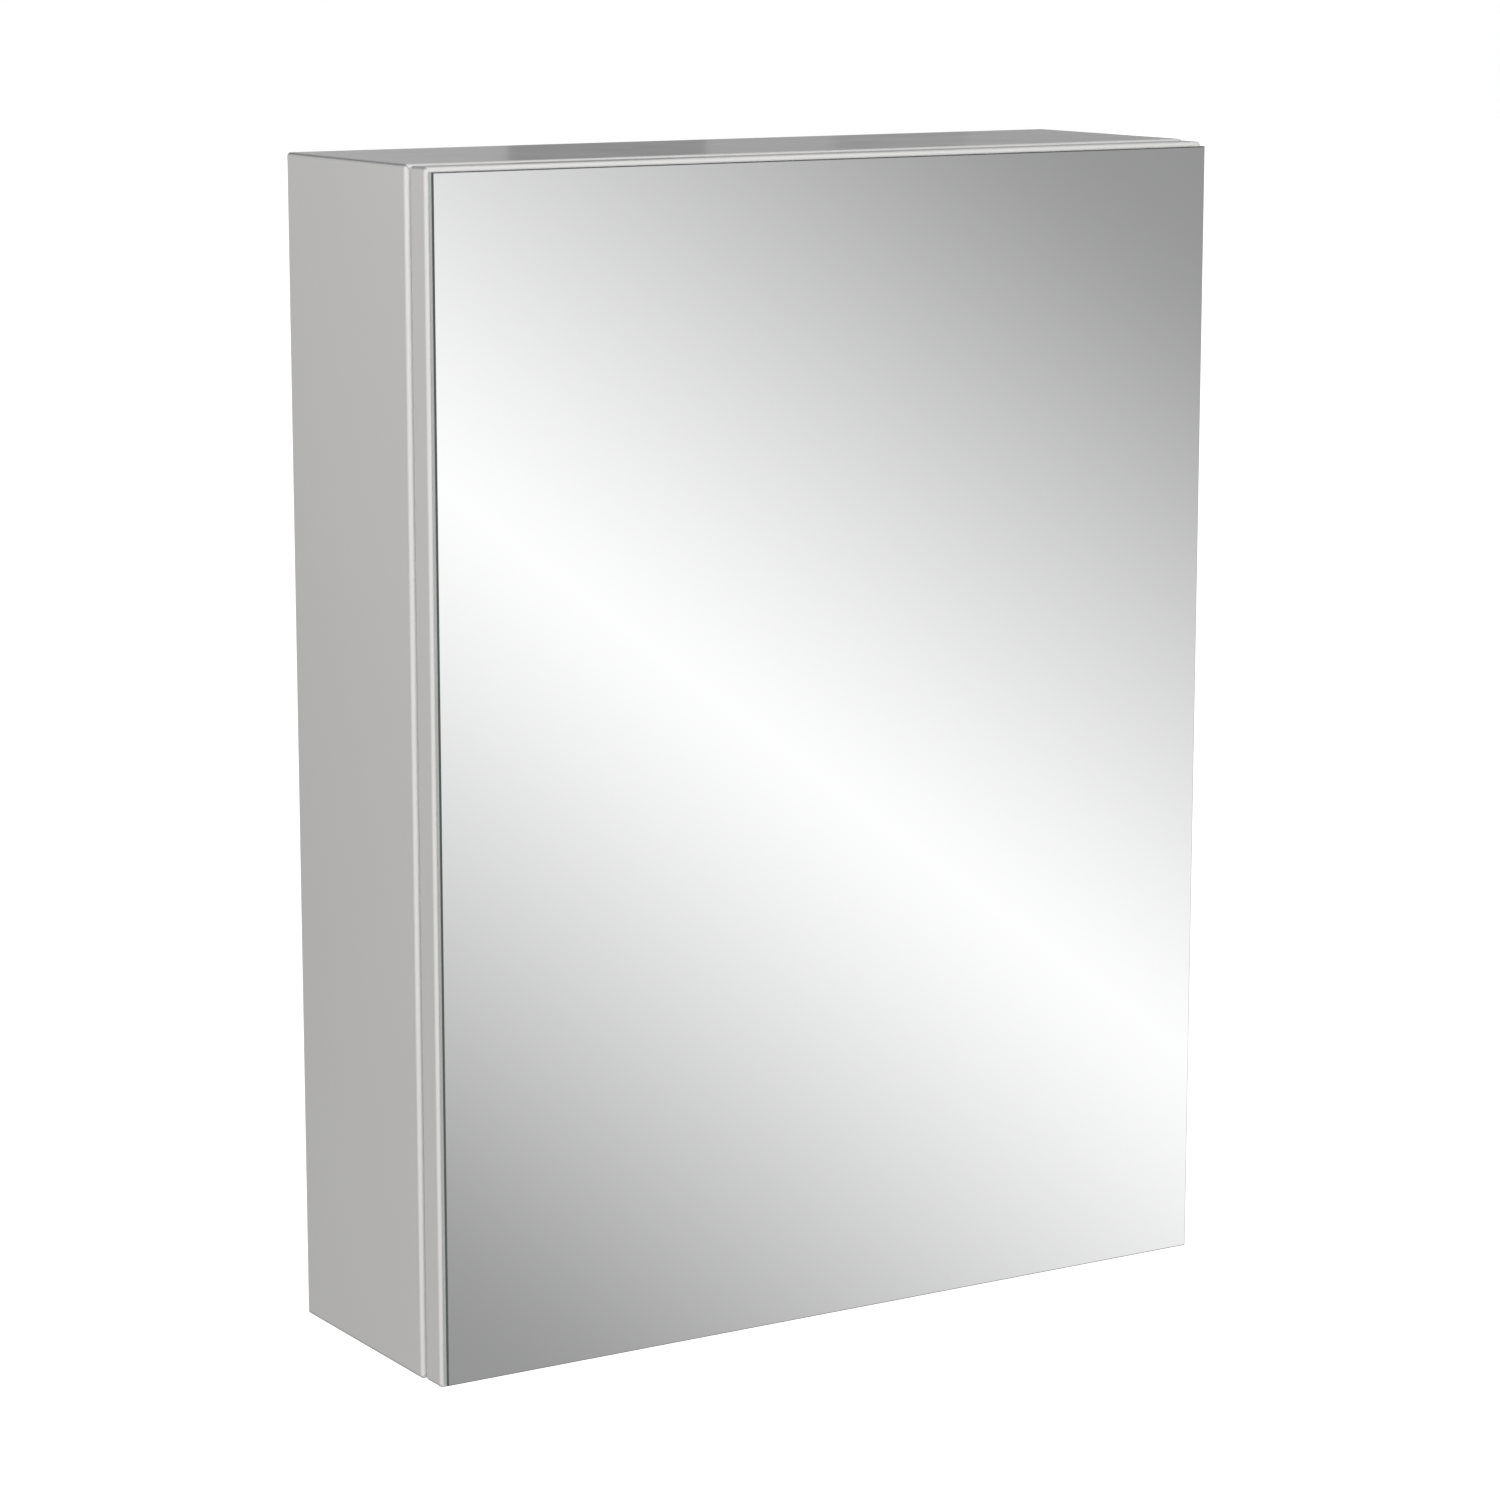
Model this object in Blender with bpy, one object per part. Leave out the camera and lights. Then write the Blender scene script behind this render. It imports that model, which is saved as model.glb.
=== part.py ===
"""Wall-hung medicine cabinet with one mirrored door.

Metres, +Z up. The wall is the plane y = 0, the front faces -Y and the right side is +X.
The origin is the centre of the rear face, where the cabinet meets the wall.
The door hangs on two concealed hinges inside the right side panel and opens by a positive turn about +Z.
"""

import math

import bmesh
import bpy
from mathutils import Matrix, Vector

# Whole cabinet
WIDTH = 0.460
HEIGHT = 0.600
DEPTH = 0.150
FIT_GAP = 0.0003

# How far cutting tools run past what they cut, and the short run where other material is near
OVERRUN = 0.010
SHORT_OVERRUN = 0.004

# Carcass
BOARD = 0.016
BACK_BOARD = 0.003
REBATE = 0.008
EDGE_RADIUS = 0.0018
INNER_ARRIS = 0.0006
MITRE_HALF_GAP = 0.00012
SPLINE_THICKNESS = 0.0019
SPLINE_WIDTH = 0.010
SPLINE_END_MARGIN = 0.012
SPLINE_INWARDS = 0.009
BACK_SCREW_HEAD_RADIUS = 0.003
BACK_SCREW_HEAD_DEPTH = 0.0017
BACK_SCREW_LENGTH = 0.012
BACK_SCREW_HEIGHT = 0.180

# Door, measured from the carcass forwards, and how far its edges stand inside the carcass's
DOOR_GAP = 0.003
DOOR_BOARD = 0.016
TAPE_SPACE = 0.001
GLASS = 0.004
HINGE_SIDE_REVEAL = 0.0025
FREE_SIDE_REVEAL = 0.0006
END_REVEAL = 0.0006
GLASS_SIDE_INSET = 0.0014
GLASS_END_INSET = 0.0022
GLASS_ARRIS = 0.0005
CARCASS_DEPTH = DEPTH - DOOR_GAP - DOOR_BOARD - TAPE_SPACE - GLASS

INNER_HALF_WIDTH = WIDTH / 2 - BOARD
INNER_HALF_HEIGHT = HEIGHT / 2 - BOARD
DOOR_LEFT = -WIDTH / 2 + FREE_SIDE_REVEAL
DOOR_RIGHT = WIDTH / 2 - HINGE_SIDE_REVEAL
DOOR_HALF_HEIGHT = HEIGHT / 2 - END_REVEAL
FRONT_Y = -CARCASS_DEPTH
DOOR_BACK_Y = FRONT_Y - DOOR_GAP
DOOR_FRONT_Y = DOOR_BACK_Y - DOOR_BOARD

# Hinges: the distances inwards are from the cabinet's right side, forwards from the carcass's front
HINGE_HEIGHT = 0.205
PIN_INWARDS = 0.0102
PIN_FORWARDS = 0.0115
PIN_RADIUS = 0.0011
PIN_HALF_LENGTH = 0.0088
PIN_CHAMFER = 0.0003
PIN_HOLE_RADIUS = 0.0014
PIN_DRILL_HALF_LENGTH = 0.0095
EYE_RADIUS = 0.0022
CUP_BORE_RADIUS = 0.0175
CUP_RADIUS = CUP_BORE_RADIUS - FIT_GAP
CUP_WALL = 0.0008
CUP_DEPTH = 0.0122
CUP_CHAMFER = 0.001
CUP_EDGE_DISTANCE = 0.0035
CUP_INWARDS = HINGE_SIDE_REVEAL + CUP_EDGE_DISTANCE + CUP_BORE_RADIUS
CUP_RIM_RADIUS = 0.0179
CUP_RIM_CHAMFER = 0.0004
LUG_INNER = 0.005
LUG_OUTER = 0.0078
LUG_INWARDS = 0.004
LUG_OUTWARDS = 0.0018
LUG_BACKWARDS = 0.0025
FLANGE_THICKNESS = 0.001
FLANGE_HALF_HEIGHT = 0.029
FLANGE_CORNER = 0.006
FLANGE_HALF_DEPTH = 0.0085
CUP_SCREW_SPACING = 0.048
CUP_SCREW_OFFSET = 0.006
ARM_THICKNESS = 0.0016
ARM_HALF_HEIGHT = 0.004
HOOK_RADIUS = 0.0121
HOOK_START = math.radians(8)
HOOK_ROOT = 0.00176
HOOK_BEND = 0.0022
HOOK_BEND_TURN = math.radians(7)
HOOK_STEPS = 9
WING_HALF_HEIGHT = 0.019
WING_FRONT = -0.005
WING_BACK = -0.032
WING_CORNER = 0.004
WING_OVERLAP = 0.004
ARM_SCREW_BACK = -0.0185
ARM_SCREW_HEIGHT = 0.012

# Screws
SCREW_HEAD_RADIUS = 0.0033
SCREW_HEAD_HEIGHT = 0.0014
SCREW_RIM_HEIGHT = 0.0006
SCREW_TOP_RADIUS = 0.0026
SCREW_SHANK_RADIUS = 0.0014
SCREW_TIP = 0.0022
SCREW_LENGTH = 0.011
LONG_SCREW_LENGTH = 0.024
CROSS_WIDTH = 0.0008
CROSS_LENGTH = 0.0034
CROSS_DEPTH = 0.0008

# Shelves and their pegs
SHELF_THICKNESS = 0.005
SHELF_FRONT_Y = -0.108
SHELF_BACK_Y = -0.005
SHELF_CORNER = 0.006
SHELF_EDGE = 0.0008
PEG_ROW_PITCH = 0.032
PEG_ROWS = (-5, -4, -3, -2, -1, 1, 2, 3, 4, 5)
SHELF_ROWS = {"lower": -3, "upper": 3}
PEG_COLUMNS = {"rear": -0.031, "front": -0.095}
PEG_HOLE_RADIUS = 0.0025
PEG_HOLE_DEPTH = 0.011
PEG_SHANK_RADIUS = 0.0022
PEG_SHANK_LENGTH = 0.009
PEG_RADIUS = 0.0026
PEG_LENGTH = 0.009
COLLAR_RADIUS = 0.0042
COLLAR_THICKNESS = 0.0011
COLLAR_CHAMFER = 0.0004
PEG_CHAMFER = 0.0009

# Hanging rail
RAIL_HEIGHT = 0.060
RAIL_THICKNESS = 0.012
RAIL_ARRIS = 0.0008
RAIL_HOLE_X = 0.150
RAIL_HOLE_RADIUS = 0.0045
WASHER_RADIUS = 0.009
WASHER_HOLE_RADIUS = 0.003
WASHER_THICKNESS = 0.0012
WASHER_CHAMFER = 0.0006
WASHER_NECK_RADIUS = 0.0042
WASHER_NECK = 0.006

# Magnetic catch and door buffers
CATCH_HEIGHT = 0.046
CATCH_DEPTH = 0.015
CATCH_WIDTH = 0.013
CATCH_FORWARDS = 0.0006
CATCH_EDGE = 0.0012
CATCH_SCREW_HEIGHT = 0.0185
MAGNET_HEIGHT = 0.026
MAGNET_WIDTH = 0.006
MAGNET_DEPTH = 0.008
MAGNET_ARRIS = 0.0004
STRIKE_HEIGHT = 0.038
STRIKE_WIDTH = 0.012
STRIKE_THICKNESS = 0.001
STRIKE_CORNER = 0.003
BUFFER_RADIUS = 0.0036
BUFFER_INWARDS = 0.0085
BUFFER_HEIGHT = 0.284
BUFFER_CHAMFER = 0.0008

# Mirror tape
TAPE_WIDTH = 0.020
TAPE_THICKNESS = 0.0005
TAPE_END_MARGIN = 0.030
TAPE_PLACES = {"far_left": -0.180, "left": -0.060, "right": 0.060, "far_right": 0.180}

ALONG_X = Matrix.Rotation(math.radians(90), 4, "Y")
TOWARDS_MINUS_X = Matrix.Rotation(math.radians(-90), 4, "Y")
TOWARDS_FRONT = Matrix.Rotation(math.radians(90), 4, "X")
TOWARDS_WALL = Matrix.Rotation(math.radians(-90), 4, "X")


def clear_scene():
    """Start from an empty scene."""
    for old in list(bpy.data.objects):
        bpy.data.objects.remove(old, do_unlink=True)


def principled(name, colour, roughness, metallic=0.0, transmission=0.0):
    """A plain Principled material."""
    material = bpy.data.materials.new(name)
    material.use_nodes = True
    shader = material.node_tree.nodes["Principled BSDF"]
    shader.inputs["Base Color"].default_value = (*colour, 1.0)
    shader.inputs["Roughness"].default_value = roughness
    shader.inputs["Metallic"].default_value = metallic
    shader.inputs["Transmission Weight"].default_value = transmission
    material.diffuse_color = (*colour, 1.0)
    return material


def white_foil():
    return principled("white_foil", (0.83, 0.83, 0.84), 0.28)


def white_hardboard():
    return principled("white_hardboard", (0.78, 0.78, 0.77), 0.55)


def silvered_glass():
    return principled("silvered_glass", (0.90, 0.92, 0.92), 0.03, metallic=1.0)


def clear_glass():
    return principled("clear_glass", (0.86, 0.93, 0.90), 0.04, transmission=0.9)


def nickel():
    return principled("nickel_plate", (0.70, 0.69, 0.66), 0.26, metallic=1.0)


def zinc():
    return principled("zinc_plate", (0.66, 0.67, 0.68), 0.36, metallic=1.0)


def white_plastic():
    return principled("white_plastic", (0.82, 0.82, 0.80), 0.42)


def magnet_metal():
    return principled("magnet_metal", (0.30, 0.30, 0.31), 0.40, metallic=0.9)


def soft_clear_buffer():
    return principled("soft_buffer", (0.74, 0.75, 0.74), 0.50)


def foam_tape():
    return principled("foam_tape", (0.62, 0.62, 0.60), 0.85)


def birch_ply():
    return principled("birch_ply", (0.66, 0.50, 0.32), 0.70)


def mesh_object(name, mesh, material, location=(0, 0, 0), rotation=None):
    """An object of a finished mesh, turned by rotation and then set at location."""
    mesh.shade_smooth()
    mesh.set_sharp_from_angle(angle=math.radians(32))
    made = bpy.data.objects.new(name, mesh)
    bpy.context.collection.objects.link(made)
    if material and not mesh.materials:
        mesh.materials.append(material)
    made.matrix_world = Matrix.Translation(location) @ (rotation or Matrix.Identity(4))
    return made


def finish_mesh(name, work):
    """The bmesh as mesh data, with its faces pointing out."""
    bmesh.ops.recalc_face_normals(work, faces=work.faces)
    mesh = bpy.data.meshes.new(name)
    work.to_mesh(mesh)
    work.free()
    return mesh


def box_mesh(name, low, high):
    """A box between two corners."""
    work = bmesh.new()
    size = Vector(high) - Vector(low)
    place = Matrix.Translation((Vector(low) + Vector(high)) / 2) @ Matrix.Diagonal((*size, 1))
    bmesh.ops.create_cube(work, size=1.0, matrix=place)
    return finish_mesh(name, work)


def prism_mesh(name, outline, start, end, axis):
    """An outline pushed along one axis. Its two numbers lie along the other two, in X, Y, Z order."""
    work = bmesh.new()
    corners = []
    for first, second in outline:
        place = [first, second]
        place.insert("XYZ".index(axis), start)
        corners.append(work.verts.new(place))
    face = work.faces.new(corners)
    pushed = bmesh.ops.extrude_face_region(work, geom=[face])
    push = Vector((0, 0, 0))
    push["XYZ".index(axis)] = end - start
    moved = [item for item in pushed["geom"] if isinstance(item, bmesh.types.BMVert)]
    bmesh.ops.translate(work, verts=moved, vec=push)
    return finish_mesh(name, work)


def turned_mesh(name, profile, steps=24):
    """A profile of (radius, height) pairs, which starts and ends on the axis, turned about +Z."""
    work = bmesh.new()
    line = [work.verts.new((radius, 0, height)) for radius, height in profile]
    edges = [work.edges.new(pair) for pair in zip(line, line[1:])]
    bmesh.ops.spin(
        work,
        geom=line + edges,
        cent=(0, 0, 0),
        axis=(0, 0, 1),
        angle=math.tau,
        steps=steps,
        use_merge=True,
    )
    bmesh.ops.remove_doubles(work, verts=work.verts, dist=1e-6)
    return finish_mesh(name, work)


def rod_mesh(name, radius, start, end, steps=24):
    """A plain round rod along +Z."""
    return turned_mesh(name, [(0, start), (radius, start), (radius, end), (0, end)], steps)


def rounded_rectangle(low, high, radius, steps=5):
    """The outline of a rectangle with rounded corners."""
    centres = (
        (high[0] - radius, high[1] - radius, 0),
        (low[0] + radius, high[1] - radius, 90),
        (low[0] + radius, low[1] + radius, 180),
        (high[0] - radius, low[1] + radius, 270),
    )
    outline = []
    for across, up, start in centres:
        for step in range(steps + 1):
            turn = math.radians(start + 90 * step / steps)
            outline.append((across + radius * math.cos(turn), up + radius * math.sin(turn)))
    return outline


def helper(made):
    """Mark an object as a tool that shapes others and is no part of the cabinet."""
    made.hide_render = True
    made.display_type = "WIRE"
    return made


def combine(target, tool, operation="DIFFERENCE"):
    """Cut, join or trim the target with a tool object."""
    modifier = target.modifiers.new(tool.name, "BOOLEAN")
    modifier.operation = operation
    modifier.solver = "EXACT"
    modifier.object = helper(tool)
    return modifier


def soften(target, width, segments):
    """Round every sharp edge of the target."""
    modifier = target.modifiers.new("soft_edges", "BEVEL")
    modifier.width = width
    modifier.segments = segments
    modifier.limit_method = "ANGLE"
    modifier.angle_limit = math.radians(30)
    return modifier


def evaluated_mesh(source, name):
    """The finished mesh of a template object, which is then removed."""
    graph = bpy.context.evaluated_depsgraph_get()
    mesh = bpy.data.meshes.new_from_object(source.evaluated_get(graph))
    mesh.name = name
    for modifier in list(source.modifiers):
        tool = modifier.object
        bpy.data.objects.remove(tool, do_unlink=True)
    bpy.data.objects.remove(source, do_unlink=True)
    return mesh


def screw_profile(length):
    """A pan-head screw's half section from its point up."""
    return [
        (0, -length),
        (SCREW_SHANK_RADIUS, -length + SCREW_TIP),
        (SCREW_SHANK_RADIUS, 0),
        (SCREW_HEAD_RADIUS, 0),
        (SCREW_HEAD_RADIUS, SCREW_RIM_HEIGHT),
        (SCREW_TOP_RADIUS, SCREW_HEAD_HEIGHT),
        (0, SCREW_HEAD_HEIGHT),
    ]


def screw_mesh(name, length):
    """A pan-head screw with a cross recess. The head sits on z = 0 and the shank points down."""
    mesh = turned_mesh(name + "_blank", screw_profile(length), steps=12)
    blank = mesh_object(name + "_blank", mesh, None)
    for turn in (0, 90):
        low = (-CROSS_LENGTH / 2, -CROSS_WIDTH / 2, SCREW_HEAD_HEIGHT - CROSS_DEPTH)
        high = (CROSS_LENGTH / 2, CROSS_WIDTH / 2, SCREW_HEAD_HEIGHT + CROSS_DEPTH)
        spin = Matrix.Rotation(math.radians(turn), 4, "Z")
        slot = mesh_object(f"{name}_slot_{turn}", box_mesh("slot", low, high), None, rotation=spin)
        combine(blank, slot)
    bpy.context.view_layer.update()
    return evaluated_mesh(blank, name)


def pilot_hole(name, target, location, rotation, length):
    """Drill the hole that a screw's shank runs in, and return the tool."""
    radius = SCREW_SHANK_RADIUS + FIT_GAP
    mesh = rod_mesh(name, radius, -length - 2 * FIT_GAP, SHORT_OVERRUN, steps=12)
    drill = mesh_object(name, mesh, None, location, rotation)
    combine(target, drill)
    return drill


# Carcass


def carcass_block(name):
    """The carcass's outer shape as one solid block with rounded outer edges."""
    work = bmesh.new()
    size = (WIDTH, CARCASS_DEPTH, HEIGHT, 1)
    place = Matrix.Translation((0, FRONT_Y / 2, 0)) @ Matrix.Diagonal(size)
    bmesh.ops.create_cube(work, size=1.0, matrix=place)
    rounded = []
    for edge in work.edges:
        ends = [vert.co.y for vert in edge.verts]
        runs_back = abs(ends[0] - ends[1]) > CARCASS_DEPTH / 2
        at_front = max(ends) < FRONT_Y / 2
        if runs_back or at_front:
            rounded.append(edge)
    bmesh.ops.bevel(work, geom=rounded, offset=EDGE_RADIUS, segments=4, profile=0.5, affect="EDGES")
    return finish_mesh(name, work)


def inner_space():
    """The tool that hollows the carcass, with a small chamfer where it meets the front."""
    half = (INNER_HALF_WIDTH, INNER_HALF_HEIGHT)
    sections = (
        (OVERRUN, 0.0),
        (FRONT_Y + INNER_ARRIS, 0.0),
        (FRONT_Y - INNER_ARRIS, 2 * INNER_ARRIS),
        (FRONT_Y - OVERRUN, 2 * INNER_ARRIS),
    )
    work = bmesh.new()
    rings = []
    for place, growth in sections:
        across = half[0] + growth
        up = half[1] + growth
        corners = ((-across, -up), (across, -up), (across, up), (-across, up))
        rings.append([work.verts.new((x, place, z)) for x, z in corners])
    for near, far in zip(rings, rings[1:]):
        for index in range(4):
            after = (index + 1) % 4
            work.faces.new((near[index], near[after], far[after], far[index]))
    work.faces.new(rings[0])
    work.faces.new(rings[-1])
    return mesh_object("inner_space", finish_mesh("inner_space", work), None)


def rear_rebate():
    """The tool that cuts the step in which the back panel lies."""
    low = (-WIDTH / 2 + REBATE, -BACK_BOARD - FIT_GAP, -HEIGHT / 2 + REBATE)
    high = (WIDTH / 2 - REBATE, OVERRUN, HEIGHT / 2 - REBATE)
    return mesh_object("rear_rebate", box_mesh("rear_rebate", low, high), None)


def mitre_wedge(side):
    """The region of one panel: its ends run at 45 degrees through the cabinet's corners."""
    inwards = 2 * BOARD
    slip = MITRE_HALF_GAP * math.sqrt(2)
    along, across = (HEIGHT / 2, WIDTH / 2) if side in ("left", "right") else (WIDTH / 2, HEIGHT / 2)
    outline = [
        (-across - OVERRUN, -along - OVERRUN + slip),
        (-across + inwards, -along + inwards + slip),
        (-across + inwards, along - inwards - slip),
        (-across - OVERRUN, along + OVERRUN - slip),
    ]
    if side in ("top", "bottom"):
        outline = [(second, first) for first, second in outline]
    flip_x = -1 if side == "right" else 1
    flip_z = -1 if side == "top" else 1
    outline = [(flip_x * x, flip_z * z) for x, z in outline]
    mesh = prism_mesh(f"{side}_region", outline, FRONT_Y - OVERRUN, OVERRUN, "Y")
    return mesh_object(f"{side}_region", mesh, None)


def spline_box(name, sign_x, sign_z, growth):
    """A flat tongue across a corner's mitre, or with growth the groove for it."""
    half = (SPLINE_WIDTH / 2 + growth, CARCASS_DEPTH / 2 - SPLINE_END_MARGIN + growth)
    thick = SPLINE_THICKNESS / 2 + growth
    mesh = box_mesh(name, (-half[0], -half[1], -thick), (half[0], half[1], thick))
    place = (
        sign_x * (WIDTH / 2 - SPLINE_INWARDS),
        FRONT_Y / 2,
        sign_z * (HEIGHT / 2 - SPLINE_INWARDS),
    )
    turn = Matrix.Rotation(math.radians(45 if sign_x * sign_z < 0 else -45), 4, "Y")
    across = Matrix.Rotation(math.radians(90), 4, "Y")
    return mesh, place, turn @ across


def corner_signs():
    return {
        "top_left": (-1, 1),
        "top_right": (1, 1),
        "bottom_left": (-1, -1),
        "bottom_right": (1, -1),
    }


def carcass_panels(material):
    """The four mitred panels."""
    hollow = inner_space()
    rebate = rear_rebate()
    panels = {}
    for side in ("left", "right", "top", "bottom"):
        name = f"{side}_side_panel" if side in ("left", "right") else f"{side}_panel"
        panel = mesh_object(name, carcass_block(name), material)
        combine(panel, hollow)
        combine(panel, rebate)
        combine(panel, mitre_wedge(side), "INTERSECT")
        panels[side] = panel
    for corner, (sign_x, sign_z) in corner_signs().items():
        mesh, place, turn = spline_box(f"{corner}_groove", sign_x, sign_z, FIT_GAP)
        groove = mesh_object(f"{corner}_groove", mesh, None, place, turn)
        for side in corner.split("_"):
            combine(panels[side], groove)
    return panels


def mitre_splines(material):
    """The tongues glued across the four mitres."""
    for corner, (sign_x, sign_z) in corner_signs().items():
        name = f"{corner}_mitre_spline"
        mesh, place, turn = spline_box(name, sign_x, sign_z, 0.0)
        mesh_object(name, mesh, material, place, turn)


def back_panel(material):
    """The thin board that closes the rear and bears against the wall."""
    half = (WIDTH / 2 - REBATE - FIT_GAP, HEIGHT / 2 - REBATE - FIT_GAP)
    mesh = box_mesh("back_panel", (-half[0], -BACK_BOARD, -half[1]), (half[0], 0, half[1]))
    panel = mesh_object("back_panel", mesh, material)
    drill = rod_mesh("wall_screw_hole", RAIL_HOLE_RADIUS, -OVERRUN, OVERRUN)
    for side, sign in (("left", -1), ("right", 1)):
        place = (sign * RAIL_HOLE_X, 0, rail_middle())
        combine(panel, mesh_object(f"{side}_wall_screw_hole", drill, None, place, TOWARDS_WALL))
    return panel


def back_screw_section(growth, top):
    """A countersunk screw's half section, or with growth that of its hole, from its point up."""
    return [
        (0, -BACK_SCREW_LENGTH - growth),
        (SCREW_SHANK_RADIUS + growth, -BACK_SCREW_LENGTH + SCREW_SHANK_RADIUS - growth),
        (SCREW_SHANK_RADIUS + growth, -BACK_SCREW_HEAD_DEPTH),
        (BACK_SCREW_HEAD_RADIUS + growth, -FIT_GAP),
        (BACK_SCREW_HEAD_RADIUS + growth, top),
        (0, top),
    ]


def back_screws(panels, back, material):
    """Countersunk screws that hold the back panel in its rebate."""
    shared = turned_mesh("back_screw", back_screw_section(0, -FIT_GAP / 2), steps=12)
    tool = turned_mesh("back_screw_hole", back_screw_section(FIT_GAP, SHORT_OVERRUN), steps=12)
    in_rebate = (BOARD + REBATE) / 2
    places = {
        "back_screw_upper_left": (-WIDTH / 2 + in_rebate, BACK_SCREW_HEIGHT, "left"),
        "back_screw_lower_left": (-WIDTH / 2 + in_rebate, -BACK_SCREW_HEIGHT, "left"),
        "back_screw_upper_right": (WIDTH / 2 - in_rebate, BACK_SCREW_HEIGHT, "right"),
        "back_screw_lower_right": (WIDTH / 2 - in_rebate, -BACK_SCREW_HEIGHT, "right"),
        "back_screw_top": (0, HEIGHT / 2 - in_rebate, "top"),
        "back_screw_bottom": (0, -HEIGHT / 2 + in_rebate, "bottom"),
    }
    for name, (across, up, side) in places.items():
        place = (across, 0, up)
        mesh_object(name, shared, material, place, TOWARDS_WALL)
        hole = mesh_object(name + "_hole", tool, None, place, TOWARDS_WALL)
        combine(back, hole)
        combine(panels[side], hole)


def rail_middle():
    """The height of the hanging rail's centre line."""
    return INNER_HALF_HEIGHT - FIT_GAP - RAIL_HEIGHT / 2


def hanging_rail(material):
    """The board behind the top that carries the cabinet on two wall screws."""
    half = INNER_HALF_WIDTH - FIT_GAP
    back = -BACK_BOARD - FIT_GAP
    low = (-half, back - RAIL_THICKNESS, rail_middle() - RAIL_HEIGHT / 2)
    high = (half, back, rail_middle() + RAIL_HEIGHT / 2)
    rail = mesh_object("hanging_rail", box_mesh("hanging_rail", low, high), material)
    soften(rail, RAIL_ARRIS, 2)
    drill = rod_mesh("rail_hole", RAIL_HOLE_RADIUS, -OVERRUN, RAIL_THICKNESS + OVERRUN)
    for side, sign in (("left", -1), ("right", 1)):
        place = (sign * RAIL_HOLE_X, 0, rail_middle())
        combine(rail, mesh_object(f"{side}_rail_hole", drill, None, place, TOWARDS_FRONT))
    return rail


def rail_washers(material):
    """Flanged steel bushes in the rail's two screw holes."""
    neck = WASHER_NECK_RADIUS
    top = WASHER_THICKNESS
    hole = WASHER_HOLE_RADIUS
    profile = [
        (hole, -WASHER_NECK),
        (neck, -WASHER_NECK),
        (neck, 0),
        (WASHER_RADIUS, 0),
        (WASHER_RADIUS, top - WASHER_CHAMFER),
        (WASHER_RADIUS - WASHER_CHAMFER, top),
        (hole + WASHER_CHAMFER, top),
        (hole, top - WASHER_CHAMFER),
        (hole, -WASHER_NECK),
    ]
    mesh = turned_mesh("rail_washer", profile, steps=20)
    front = -BACK_BOARD - 2 * FIT_GAP - RAIL_THICKNESS
    for side, sign in (("left", -1), ("right", 1)):
        place = (sign * RAIL_HOLE_X, front, rail_middle())
        mesh_object(f"{side}_rail_washer", mesh, material, place, TOWARDS_FRONT)


# Shelves


def peg_holes(panels):
    """The rows of holes that take the shelf pegs."""
    drill = rod_mesh("peg_drill", PEG_HOLE_RADIUS, 0, PEG_HOLE_DEPTH + OVERRUN, steps=10)
    for side, sign in (("left", -1), ("right", 1)):
        tools = bmesh.new()
        for row in PEG_ROWS:
            for column in PEG_COLUMNS.values():
                start = (sign * (INNER_HALF_WIDTH + PEG_HOLE_DEPTH), column, row * PEG_ROW_PITCH)
                turn = TOWARDS_MINUS_X if sign > 0 else ALONG_X
                one = drill.copy()
                one.transform(Matrix.Translation(start) @ turn)
                tools.from_mesh(one)
                bpy.data.meshes.remove(one)
        mesh = bpy.data.meshes.new(f"{side}_peg_drills")
        tools.to_mesh(mesh)
        tools.free()
        combine(panels[side], mesh_object(f"{side}_peg_drills", mesh, None))


def shelf_pegs(material):
    """Four collared pegs under each shelf."""
    top = PEG_LENGTH + COLLAR_THICKNESS
    profile = [
        (0, -PEG_SHANK_LENGTH),
        (PEG_SHANK_RADIUS, -PEG_SHANK_LENGTH),
        (PEG_SHANK_RADIUS, 0),
        (COLLAR_RADIUS, 0),
        (COLLAR_RADIUS, COLLAR_THICKNESS - COLLAR_CHAMFER),
        (COLLAR_RADIUS - COLLAR_CHAMFER, COLLAR_THICKNESS),
        (PEG_RADIUS, COLLAR_THICKNESS),
        (PEG_RADIUS, top - PEG_CHAMFER),
        (PEG_RADIUS - PEG_CHAMFER, top),
        (0, top),
    ]
    mesh = turned_mesh("shelf_peg", profile, steps=12)
    for shelf, row in SHELF_ROWS.items():
        for side, sign in (("left", -1), ("right", 1)):
            for column, place_y in PEG_COLUMNS.items():
                place = (sign * (INNER_HALF_WIDTH - FIT_GAP), place_y, row * PEG_ROW_PITCH)
                turn = TOWARDS_MINUS_X if sign > 0 else ALONG_X
                mesh_object(f"{shelf}_shelf_peg_{side}_{column}", mesh, material, place, turn)


def glass_shelves(material):
    """Two loose glass shelves that rest on the pegs."""
    half = INNER_HALF_WIDTH - 2 * FIT_GAP - COLLAR_THICKNESS
    outline = rounded_rectangle((-half, SHELF_FRONT_Y), (half, SHELF_BACK_Y), SHELF_CORNER)
    for shelf, row in SHELF_ROWS.items():
        bottom = row * PEG_ROW_PITCH + PEG_RADIUS + FIT_GAP
        name = f"{shelf}_glass_shelf"
        mesh = prism_mesh(name, outline, bottom, bottom + SHELF_THICKNESS, "Z")
        soften(mesh_object(name, mesh, material), SHELF_EDGE, 2)


# Door


def door_axis():
    """The empty on the hinge line that every door piece is parented to."""
    axis = bpy.data.objects.new("door_axis", None)
    bpy.context.collection.objects.link(axis)
    axis.location = hinge_place(PIN_INWARDS, PIN_FORWARDS, 0)
    return axis


def hinge_place(inwards, forwards, up):
    """A point given from the cabinet's right side and the carcass's front."""
    return Vector((WIDTH / 2 - inwards, FRONT_Y - forwards, up))


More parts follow.
